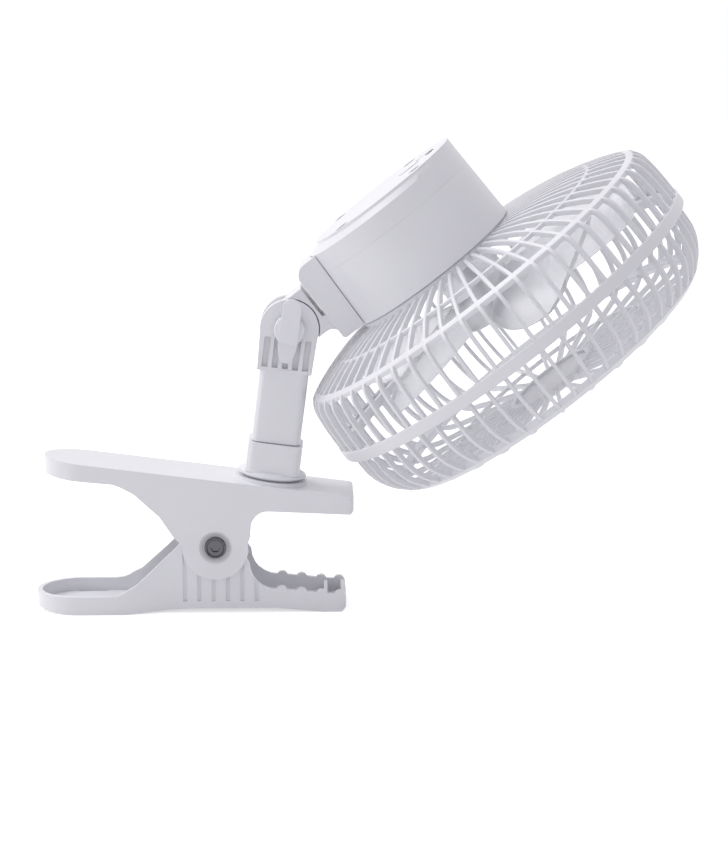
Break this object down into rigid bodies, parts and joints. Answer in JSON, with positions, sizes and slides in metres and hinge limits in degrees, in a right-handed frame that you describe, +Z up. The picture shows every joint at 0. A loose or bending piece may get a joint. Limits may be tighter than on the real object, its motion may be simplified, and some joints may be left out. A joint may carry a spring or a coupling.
{
  "type": "clip fan",
  "caption": "Small clip-on fan: a sprung clamp carries a swivelling post, a tilting arm with a wing knob, and a caged blade with a round motor and battery housing.",
  "frame": {"origin": "in the middle of the clamp's mouth, on the lower jaw's teeth, where the edge that holds the fan lies", "axes": "+X from the handles to the clamp's mouth, +Z up from the soles, +Y to the side away from the wing knob; the clamp's pivot runs along Y"},
  "size_m": [0.2821, 0.18, 0.2011],
  "materials": {
    "white_plastic": "semi-gloss moulded",
    "blade_plastic": "smooth, slightly translucent",
    "bright_steel": "bright zinc plate",
    "spring_steel": "drawn wire",
    "core_iron": "stacked sheet",
    "bearing_brass": "sintered",
    "magnet": "matt, sintered",
    "black_plastic": "matt",
    "cell_wrap": "plain shrink wrap",
    "board": "solder resist",
    "lens": "clear"
  },
  "bodies": {
    "clamp_base": {"lower_jaw": "white_plastic", "pivot_screw": "bright_steel", "pivot_nut": "bright_steel", "pivot_sleeve": "bright_steel", "torsion_spring": "spring_steel"},
    "upper_clamp": {"upper_jaw": "white_plastic"},
    "post": {"swivel_socket": "white_plastic", "post_column": "white_plastic", "swivel_washer": "bright_steel", "swivel_screw": "bright_steel", "tilt_bolt": "bright_steel", "tilt_washer": "bright_steel"},
    "tilt_knob": {"wing_knob": "white_plastic"},
    "rotor": {"armature": "core_iron", "motor_shaft": "bright_steel", "fan_blade": "blade_plastic", "blade_nut": "blade_plastic"},
    "button": {"speed_button": "white_plastic"},
    "head": {"neck_bracket": "white_plastic", "bracket_screw_1": "bright_steel", "bracket_screw_2": "bright_steel", "rear_cage": "white_plastic", "front_cage": "white_plastic", "housing_body": "white_plastic", "housing_cap": "white_plastic", "housing_screw_1": "bright_steel", "housing_screw_2": "bright_steel", "housing_screw_3": "bright_steel", "housing_screw_4": "bright_steel", "cage_screw_1": "bright_steel", "cage_screw_2": "bright_steel", "cage_screw_3": "bright_steel", "cage_screw_4": "bright_steel", "motor_can": "bright_steel", "motor_end_cap": "black_plastic", "front_bearing": "bearing_brass", "rear_bearing": "bearing_brass", "magnet_ring": "magnet", "motor_screw_1": "bright_steel", "motor_screw_2": "bright_steel", "battery_cell": "cell_wrap", "battery_contact_1": "bright_steel", "battery_contact_2": "bright_steel", "control_board": "board", "board_screw_1": "bright_steel", "board_screw_2": "bright_steel", "power_switch": "black_plastic", "led_lens": "lens", "charge_socket": "bright_steel"}
  },
  "joints": [
    {"name": "clamp_open", "type": "hinge", "parent": "clamp_base", "child": "upper_clamp", "pos_m": [-0.041, 0, 0.0191], "axis": [0, -1, 0], "range_deg": [0, 30], "stiffness_Nm_per_rad": 0.6, "springref_deg": -85.94, "deforming": ["torsion_spring"]},
    {"name": "post_swivel", "type": "hinge", "parent": "upper_clamp", "child": "post", "pos_m": [-0.0174, 0, 0.0451], "axis": [0.1253, 0, 0.9921], "continuous": true},
    {"name": "tilt_knob_turn", "type": "hinge", "parent": "post", "child": "tilt_knob", "pos_m": [-0.00898, 0, 0.11177], "axis": [0, -1, 0], "range_deg": [0, 180]},
    {"name": "head_tilt", "type": "hinge", "parent": "post", "child": "head", "pos_m": [-0.00898, 0, 0.11177], "axis": [0, -1, 0], "range_deg": [0, 90]},
    {"name": "rotor_spin", "type": "hinge", "parent": "head", "child": "rotor", "pos_m": [0.0841, 0, 0.1127], "axis": [-0.617, 0, 0.7869], "continuous": true},
    {"name": "speed_button_press", "type": "slide", "parent": "head", "child": "button", "axis": [0.617, 0, -0.7869], "range_m": [0, 0.001], "stiffness_N_per_m": 300, "springref_m": -0.0005}
  ]
}
